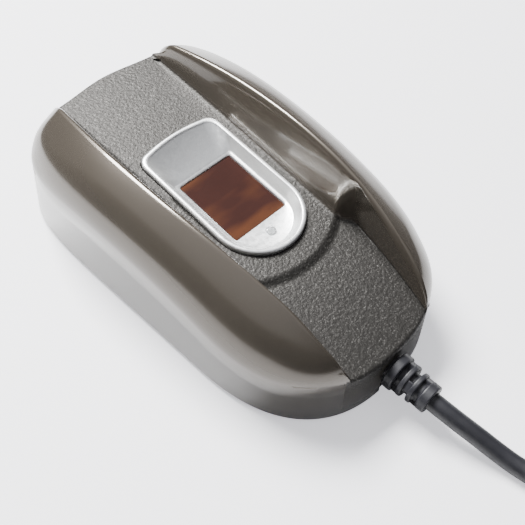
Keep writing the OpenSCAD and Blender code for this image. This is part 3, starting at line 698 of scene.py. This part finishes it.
def upper_shell():
    bm = bmesh.new()
    bmesh.ops.create_grid(bm, x_segments=COLUMNS, y_segments=ROWS, size=1)
    moved = bm.verts.layers.float.new("moved")
    foot_at = bm.verts.layers.float_vector.new("foot_at")
    for v in bm.verts:
        x, y = shell_plan(v.co.x, row_part((v.co.y + 1) / 2), DRAFT)
        v[moved] = bow(x, y)
        y_top = y + v[moved]
        v.co = (x, y_top, top_z(x, y_top) - edge_drop(x, y, DRAFT))
    rim = [e for e in bm.edges if e.is_boundary]
    for part in (WALL_TOP, 1):
        grown = bmesh.ops.extrude_edge_only(bm, edges=rim)["geom"]
        rim = [g for g in grown if isinstance(g, bmesh.types.BMEdge)]
        for v in [g for g in grown if isinstance(g, bmesh.types.BMVert)]:
            if part < 1:
                y = v.co.y - v[moved]
                steep = slope(v.co.x, y, DRAFT)
                out = DRAFT / math.hypot(*steep)
                foot = Vector((v.co.x + steep[0] * out, foot_y(y + steep[1] * out), SHELL_Z))
                v[foot_at] = foot
            v.co = v.co.lerp(v[foot_at], part)
    cut_bezel_seat(bm)
    cut_lead_slot(bm)
    bmesh.ops.recalc_face_normals(bm, faces=bm.faces)
    if sum(f.normal.z * f.calc_area() for f in bm.faces) < 0:
        bmesh.ops.reverse_faces(bm, faces=bm.faces)
    layer = bm.verts.layers.float.new("channel")
    for v in bm.verts:
        x, y, z = v.co
        low = abs(x) - foot_x(y) < 1.2 and z > floor_z(x, y) - 2.5
        v[layer] = 1 - ease((z - floor_z(x, y) - 0.25) / 0.7) if low else 0.0
    piece = keep("shell", bm, made_of("shell_paint"), ["upper_shell"], merge=False)
    wall = piece.modifiers.new("wall", "SOLIDIFY")
    wall.thickness = 1.6 * MM
    wall.offset = -1
    return piece


def clip_out(bm, faces, planes):
    """Cuts the faces along each plane in turn and gives back those on the inner side of all."""
    for point, normal in planes:
        edges = {e for f in faces for e in f.edges}
        verts = {v for f in faces for v in f.verts}
        cut = bmesh.ops.bisect_plane(
            bm, geom=list(verts) + list(edges) + list(faces), plane_co=point, plane_no=normal,
            dist=0.0001,
        )
        faces = [
            f for f in cut["geom"]
            if isinstance(f, bmesh.types.BMFace)
            and (f.calc_center_median() - Vector(point)).dot(Vector(normal)) < 0
        ]
    return faces


def cut_bezel_seat(bm):
    """Opens the channel floor round the bezel, with a narrow ledge for its lip."""
    outline = [Vector((x, y, 0)) for x, y in bezel_outline(-0.22)]
    near = []
    for f in bm.faces:
        c = WINDOW_FRAME.inverted() @ f.calc_center_median()
        if abs(c.x) < 14 and -25 < c.y < 22.5 and abs(c.z) < 3:
            near.append(f)
    turn = WINDOW_FRAME.to_3x3()
    planes = []
    for a, b in zip(outline, outline[1:] + outline[:1]):
        if (b - a).length > 0.01:
            along = (b - a).normalized()
            planes.append((WINDOW_FRAME @ a, turn @ Vector((along.y, -along.x, 0))))
    hole = clip_out(bm, near, planes)
    bmesh.ops.delete(bm, geom=hole, context="FACES")
    inside = WINDOW_FRAME.inverted()
    rim = [
        e for e in bm.edges
        if e.is_boundary and all(abs((inside @ v.co).x) < 13 and abs((inside @ v.co).y) < 24
                                 and v.co.z > 18 for v in e.verts)
    ]
    for step, down in ((0, 0.75), (1.1, 0)):
        grown = bmesh.ops.extrude_edge_only(bm, edges=rim)["geom"]
        verts = [g for g in grown if isinstance(g, bmesh.types.BMVert)]
        rim = [g for g in grown if isinstance(g, bmesh.types.BMEdge)]
        for v in verts:
            p = inside @ v.co
            middle = Vector((0, min(max(p.y, -12), BEZEL_ROUND_Y), p.z))
            p += (middle - p).normalized() * step
            p.z = -down if down else p.z
            v.co = WINDOW_FRAME @ p


def cut_lead_slot(bm):
    """Opens the slot that the strain relief's neck drops into."""
    near = [f for f in bm.faces if f.calc_center_median().y > 45 and f.calc_center_median().z < 16
            and abs(f.calc_center_median().x) < 9]
    planes = [((3.6, 0, 0), (1, 0, 0)), ((-3.6, 0, 0), (-1, 0, 0)), ((0, 0, LEAD_Z), (0, 0, 1))]
    bmesh.ops.delete(bm, geom=clip_out(bm, near, planes), context="FACES")


# ---------------------------------------------------------------- bezel, window and indicator
RAYS = 180


def ring_at(outline, height, turns=RAYS):
    """Points where rays from the window's middle cross an outline, lifted to a height."""
    found = []
    for k in range(turns):
        a = 2 * math.pi * (k + 0.5) / turns
        way = Vector((math.cos(a), math.sin(a)))
        best = 0
        for (x0, y0), (x1, y1) in zip(outline, outline[1:] + outline[:1]):
            edge = Vector((x1 - x0, y1 - y0))
            cross = way.x * edge.y - way.y * edge.x
            if abs(cross) < 1e-9:
                continue
            t = (x0 * edge.y - y0 * edge.x) / cross
            s = (x0 * way.y - y0 * way.x) / cross
            if -1e-6 <= s <= 1 + 1e-6 and t > best:
                best = t
        found.append(Vector((way.x * best, way.y * best, height)))
    return found


def rounded_rectangle(half_x, half_y, r):
    points = []
    for cx, cy, start in ((1, -1, -90), (1, 1, 0), (-1, 1, 90), (-1, -1, 180)):
        for a in range(start, start + 91, 15):
            a = math.radians(a)
            points.append((cx * (half_x - r) + r * math.cos(a), cy * (half_y - r) + r * math.sin(a)))
    return points


def dish_floor(grow):
    """Outline of the dish's floor: straight sides, round end, straight edge to the user."""
    w = 8.9 + grow
    points = [(-w, -10.9 - grow), (w, -10.9 - grow)]
    for a in range(0, 181, 6):
        a = math.radians(a)
        points.append((w * math.cos(a), BEZEL_ROUND_Y + w * math.sin(a)))
    return points


def bezel():
    bm = bmesh.new()
    window = rounded_rectangle(WINDOW_W / 2 + 0.25, WINDOW_L / 2 + 0.25, 0.7)
    rings = [
        ring_at(bezel_outline(1.1), BEZEL_LOW), ring_at(bezel_outline(1.1), -0.5),
        ring_at(bezel_outline(0.05), -0.5), ring_at(bezel_outline(0), -0.42),
        ring_at(bezel_outline(0), 0.7), ring_at(bezel_outline(0.04), 0.86),
        ring_at(bezel_outline(0.14), 1.02), ring_at(bezel_outline(0.3), 1.14),
        ring_at(bezel_outline(0.48), RIM_H), ring_at(bezel_outline(0.85), RIM_H),
        ring_at(bezel_outline(1.05), 1.13), ring_at(bezel_outline(1.2), 1.0),
        ring_at(bezel_outline(1.32), 0.75),
        ring_at(dish_floor(0.35), -1.18), ring_at(dish_floor(0.1), -1.4),
        ring_at(dish_floor(-0.15), -1.5),
        ring_at(window, -1.62), ring_at(rounded_rectangle(8.18, 10.18, 0.65), -1.72),
        ring_at(rounded_rectangle(8.12, 10.12, 0.6), -3.0),
        ring_at(rounded_rectangle(8.12, 10.12, 0.6), BEZEL_LOW),
    ]
    loft(bm, rings, closed=True)
    bmesh.ops.transform(bm, matrix=WINDOW_FRAME, verts=bm.verts)
    return keep("bezel_ring", bm, made_of("bezel_satin"), ["bezel"])


def window_prism():
    bm = bmesh.new()
    top, edge, low = -WINDOW_DIP, -WINDOW_DIP - 1, -11.5
    half = WINDOW_L / 2
    run = edge - low
    side = [(-half, top), (-half, edge), (run - half, low), (half - run, low), (half, edge), (half, top)]
    face = bm.faces.new([bm.verts.new((-WINDOW_W / 2, y, z)) for y, z in side])
    grown = bmesh.ops.extrude_face_region(bm, geom=[face])["geom"]
    side = [g for g in grown if isinstance(g, bmesh.types.BMVert)]
    bmesh.ops.translate(bm, vec=(WINDOW_W, 0, 0), verts=side)
    bmesh.ops.recalc_face_normals(bm, faces=bm.faces)
    soften(bm, 0.18, 3)
    bmesh.ops.transform(bm, matrix=WINDOW_FRAME, verts=bm.verts)
    return keep("window", bm, made_of("prism_glass"), ["platen_prism"], smooth=False)


def indicator():
    bm = bmesh.new()
    turned(bm, [(0, BEZEL_LOW - 0.8), (2, BEZEL_LOW - 0.8), (2, BEZEL_LOW), (LENS_R, BEZEL_LOW),
                (LENS_R, -1.38), (1.22, -1.28), (1.05, -1.19), (0.75, -1.1), (0.4, -1.06), (0, -1.05)], 40)
    bmesh.ops.transform(bm, matrix=WINDOW_FRAME @ Matrix.Translation((0, LENS_Y, 0)), verts=bm.verts)
    return keep("indicator_dome", bm, made_of("clear_plastic"), ["indicator_lens"])


# ---------------------------------------------------------------- strain relief
RELIEF_FRAME = Matrix.Translation((0, END_Y, LEAD_Z)) @ Matrix.Rotation(math.radians(-90), 4, "X")
COLLARS = ((0.1, 2.4, 4.6), (3.7, 4.9, 4.15), (6.2, 7.4, 3.9), (8.8, 11.0, 3.6))
CORE_R = 2.75


def relief():
    bm = bmesh.new()
    r = 0.3
    profile = [(LEAD_D / 2 + 0.02, -4.6), (4.6, -4.6), (4.6, -3.4), (3.35, -3.4), (3.35, 0.1)]
    for low, high, out in COLLARS:
        profile += [(out - r, low), (out - 0.09, low + 0.09), (out, low + r), (out, high - r),
                    (out - 0.09, high - 0.09), (out - r, high), (CORE_R + 0.25, high)]
        if high < 10:
            profile += [(CORE_R, high + 0.25), (CORE_R, high + 1.0), (CORE_R + 0.25, high + 1.25)]
    profile += [(LEAD_D / 2 + 0.02, 11.0), (LEAD_D / 2 + 0.02, -4.6)]
    turned(bm, profile, 64)
    for index, (one, two) in enumerate(zip(COLLARS, COLLARS[1:])):
        for side in (0, 180):
            bridge = bmesh.new()
            block(bridge, (1.6, -1.3, one[1] - 0.2), (two[2] - 0.25, 1.3, two[0] + 0.2))
            soften(bridge, 0.15, 2)
            turn = Matrix.Rotation(math.radians(side + (45 if index % 2 == 0 else -45)), 4, "Z")
            bmesh.ops.transform(bridge, matrix=turn, verts=bridge.verts)
            join(bm, bridge, "bridge")
    bmesh.ops.transform(bm, matrix=RELIEF_FRAME, verts=bm.verts)
    return keep("relief", bm, made_of("lead_pvc"), ["strain_relief"], smooth=False)


# ---------------------------------------------------------------- feet, tie and plug
FOOT_SPOTS = ((-20, -46), (20, -46), (-14, 41), (14, 41))
PLUG_FRAME = (
    Matrix.Translation((5, 111.4, 4)) @ Matrix.Rotation(math.radians(145), 4, "Z")
    @ Matrix.Rotation(math.radians(90), 4, "X")
)


def feet():
    bm = bmesh.new()
    for x, y in FOOT_SPOTS:
        disc = bmesh.new()
        turned(disc, [(0, 1.2), (4.8, 1.2), (4.8, 0.35), (4.7, 0.12), (4.45, 0.02), (4.1, 0), (3.4, 0),
                      (3.2, 0.15), (1.2, 0.15), (1.0, 0), (0, 0)], 48)
        bmesh.ops.translate(disc, vec=(x, y, 0), verts=disc.verts)
        join(bm, disc, "disc")
    return keep("feet", bm, made_of("foot_rubber"), ["rubber_feet"], smooth=False)


def tie():
    bm = bmesh.new()
    low = COIL_D / 2 - COIL_WIDE * LEAD_D / 2
    thick = TIE_T
    wide = COIL_WIDE * LEAD_D
    y0 = COIL_Y + low
    outer = [(-thick - 0.4, 0), (wide + thick + 0.6, 0), (wide + thick + 0.6, 2 * LEAD_D + 2 * thick),
             (-thick - 0.4, 2 * LEAD_D + 2 * thick)]
    inner = [(-0.4, thick), (wide + 0.6, thick), (wide + 0.6, 2 * LEAD_D + thick), (-0.4, 2 * LEAD_D + thick)]
    rings = [[Vector((COIL_X + x, y0 + y, z)) for y, z in loop]
             for x, loop in ((-2.5, outer), (2.5, outer), (2.5, inner), (-2.5, inner), (-2.5, outer))]
    loft(bm, rings)
    bmesh.ops.remove_doubles(bm, verts=bm.verts, dist=0.001)
    bmesh.ops.recalc_face_normals(bm, faces=bm.faces)
    soften(bm, 0.28, 3)
    return keep("coil_strap", bm, made_of("tie_nylon"), ["coil_tie"], smooth=False)


def plug():
    bm = bmesh.new()
    block(bm, (-7.5, -4, 4), (7.5, 4, 22))
    upright = [e for e in bm.edges if abs(e.verts[0].co.z - e.verts[1].co.z) > 1]
    bmesh.ops.bevel(bm, geom=upright, offset=1.6, segments=5, profile=0.5, affect="EDGES", material=-1)
    soften(bm, 0.6, 3, 60)
    neck = bmesh.new()
    turned(neck, [(LEAD_D / 2 + 0.02, 0), (2.9, 0), (3.2, 0.4), (3.2, 1.2), (2.8, 1.5), (2.8, 2.1),
                  (3.2, 2.4), (3.2, 3.2), (2.9, 3.5), (3.2, 4.4), (LEAD_D / 2 + 0.02, 4.4),
                  (LEAD_D / 2 + 0.02, 0)], 40)
    join(bm, neck, "neck")
    bmesh.ops.transform(bm, matrix=PLUG_FRAME, verts=bm.verts)
    return keep("plug_grip", bm, made_of("lead_pvc"), ["plug_body"], smooth=False)


upper_shell()
bezel()
window_prism()
indicator()
relief_piece = relief()
feet()
tie_piece = tie()
plug_piece = plug()


# ---------------------------------------------------------------- floor and light
def floor():
    bm = bmesh.new()
    bmesh.ops.create_grid(bm, x_segments=1, y_segments=1, size=1.5)
    mesh = bpy.data.meshes.new("floor")
    bm.to_mesh(mesh)
    bm.free()
    sweep = bpy.data.objects.new("floor", mesh)
    bpy.context.scene.collection.objects.link(sweep)
    f = Finish("white_floor", (0.9, 0.9, 0.92), 0.6)
    direct = f.node("ShaderNodeLightPath").outputs["Is Camera Ray"]
    f.colour_by(direct, (0.8, 0.8, 0.81), (0.9, 0.9, 0.92))
    f.set("Emission Color", (0.95, 0.95, 1, 1))
    f.drive("Emission Strength", f.maths("MULTIPLY", direct, 0.8))
    mesh.materials.append(f.material)


def softbox(name, spot, aim, size, power, colour=(1, 1, 1)):
    lamp = bpy.data.lights.new(name, "AREA")
    lamp.shape = "RECTANGLE"
    lamp.size, lamp.size_y = size
    lamp.energy = power
    lamp.color = colour
    box = bpy.data.objects.new(name, lamp)
    bpy.context.scene.collection.objects.link(box)
    spot, aim = Vector(spot), Vector(aim)
    box.matrix_world = Matrix.Translation(spot) @ (aim - spot).to_track_quat("-Z", "Y").to_matrix().to_4x4()


def room():
    world = bpy.data.worlds.new("room")
    world.use_nodes = True
    nodes, links = world.node_tree.nodes, world.node_tree.links
    background = nodes["Background"]
    background.inputs["Color"].default_value = (0.93, 0.94, 1, 1)
    height = nodes.new("ShaderNodeSeparateXYZ")
    links.new(nodes.new("ShaderNodeTexCoord").outputs["Generated"], height.inputs["Vector"])
    fade = nodes.new("ShaderNodeMapRange")
    fade.interpolation_type = "SMOOTHSTEP"
    for slot, value in (("From Min", 0.52), ("From Max", 0.85), ("To Min", 0.06), ("To Max", 0.66)):
        fade.inputs[slot].default_value = value
    links.new(height.outputs["Z"], fade.inputs["Value"])
    seen = nodes.new("ShaderNodeMix")
    links.new(nodes.new("ShaderNodeLightPath").outputs["Is Camera Ray"], seen.inputs["Factor"])
    links.new(fade.outputs["Result"], seen.inputs["A"])
    seen.inputs["B"].default_value = 0.85
    links.new(seen.outputs["Result"], background.inputs["Strength"])
    bpy.context.scene.world = world
    softbox("key", (-0.03, -0.48, 0.7), (0, 0, 0), (0.4, 0.3), 29)


floor()
room()
